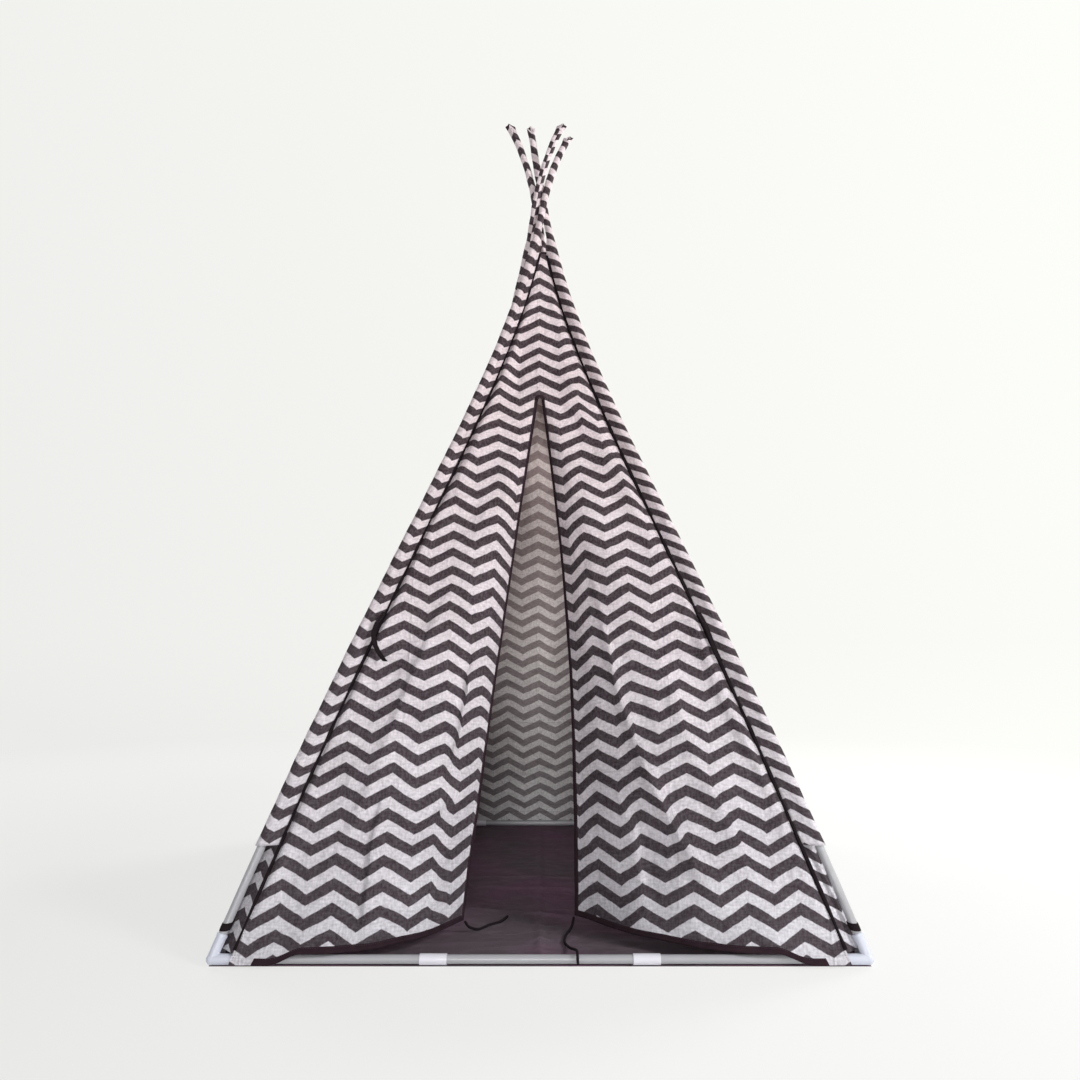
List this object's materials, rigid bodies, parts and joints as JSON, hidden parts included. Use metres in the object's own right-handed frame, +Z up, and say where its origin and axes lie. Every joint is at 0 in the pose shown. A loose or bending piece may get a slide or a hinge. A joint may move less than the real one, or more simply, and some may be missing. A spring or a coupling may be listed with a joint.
{
  "type": "play teepee",
  "caption": "Square play teepee: a striped cloth cover with a curtained door on crossed tube poles, a square base frame and a floor mat.",
  "frame": {"origin": "on the floor under the point where the poles cross, on the underside of the floor mat", "axes": "+Z up, the door faces -Y, +X to the right seen from in front of the door"},
  "size_m": [1.2308, 1.2348, 1.9858],
  "materials": {
    "tube_plastic": "smooth extruded tube, slightly grey white",
    "connector_plastic": "smooth moulded, bluish white",
    "cover_cloth": "printed woven cotton, dark and light chevron stripes",
    "sleeve_cloth": "printed woven cotton, the same chevron stripes",
    "trim_tape": "folded dark bias tape",
    "mat_cloth": "dark purple grey woven cloth"
  },
  "bodies": {
    "frame_and_cover": {"back_wall": "cover_cloth", "base_back_tube_left": "tube_plastic", "base_back_tube_middle": "tube_plastic", "base_back_tube_right": "tube_plastic", "base_front_tube_left": "tube_plastic", "base_front_tube_middle": "tube_plastic", "base_front_tube_right": "tube_plastic", "base_left_tube_back": "tube_plastic", "base_left_tube_front": "tube_plastic", "base_left_tube_middle": "tube_plastic", "base_right_tube_back": "tube_plastic", "base_right_tube_front": "tube_plastic", "base_right_tube_middle": "tube_plastic", "corner_connector_back_left": "connector_plastic", "corner_connector_back_right": "connector_plastic", "corner_connector_front_left": "connector_plastic", "corner_connector_front_right": "connector_plastic", "corner_loop_back_left": "trim_tape", "corner_loop_back_right": "trim_tape", "corner_loop_front_left": "trim_tape", "corner_loop_front_right": "trim_tape", "floor_mat": "mat_cloth", "front_wall_left": "cover_cloth", "front_wall_right": "cover_cloth", "front_wall_top": "cover_cloth", "left_wall": "cover_cloth", "pole_back_left_tube_1": "tube_plastic", "pole_back_left_tube_2": "tube_plastic", "pole_back_left_tube_3": "tube_plastic", "pole_back_left_tube_4": "tube_plastic", "pole_back_left_tube_5": "tube_plastic", "pole_back_right_tube_1": "tube_plastic", "pole_back_right_tube_2": "tube_plastic", "pole_back_right_tube_3": "tube_plastic", "pole_back_right_tube_4": "tube_plastic", "pole_back_right_tube_5": "tube_plastic", "pole_front_left_tube_1": "tube_plastic", "pole_front_left_tube_2": "tube_plastic", "pole_front_left_tube_3": "tube_plastic", "pole_front_left_tube_4": "tube_plastic", "pole_front_left_tube_5": "tube_plastic", "pole_front_right_tube_1": "tube_plastic", "pole_front_right_tube_2": "tube_plastic", "pole_front_right_tube_3": "tube_plastic", "pole_front_right_tube_4": "tube_plastic", "pole_front_right_tube_5": "tube_plastic", "pole_sleeve_back_left": "sleeve_cloth", "pole_sleeve_back_right": "sleeve_cloth", "pole_sleeve_front_left": "sleeve_cloth", "pole_sleeve_front_right": "sleeve_cloth", "right_wall": "cover_cloth"},
    "left_flap": {"door_flap_left": "cover_cloth", "door_binding_left": "trim_tape", "closing_tie_left": "trim_tape"},
    "right_flap": {"door_flap_right": "cover_cloth", "door_binding_right": "trim_tape", "closing_tie_right": "trim_tape"},
    "left_tie_back": {"tie_back_strap_left": "trim_tape"},
    "right_tie_back": {"tie_back_strap_right": "trim_tape"}
  },
  "joints": [
    {"name": "left_flap_swing", "type": "hinge", "parent": "frame_and_cover", "child": "left_flap", "pos_m": [-0.265, -0.38178, 0.609], "axis": [-0.3792, -0.3343, -0.8628], "range_deg": [0, 120]},
    {"name": "right_flap_swing", "type": "hinge", "parent": "frame_and_cover", "child": "right_flap", "pos_m": [0.265, -0.38178, 0.609], "axis": [-0.3792, 0.3343, 0.8628], "range_deg": [0, 120]},
    {"name": "left_tie_back_swing", "type": "hinge", "parent": "frame_and_cover", "child": "left_tie_back", "pos_m": [-0.33732, -0.37845, 0.65], "axis": [-1, 0, 0], "range_deg": [0, 100]},
    {"name": "right_tie_back_swing", "type": "hinge", "parent": "frame_and_cover", "child": "right_tie_back", "pos_m": [0.34509, -0.37068, 0.65], "axis": [-1, 0, 0], "range_deg": [0, 100]}
  ]
}
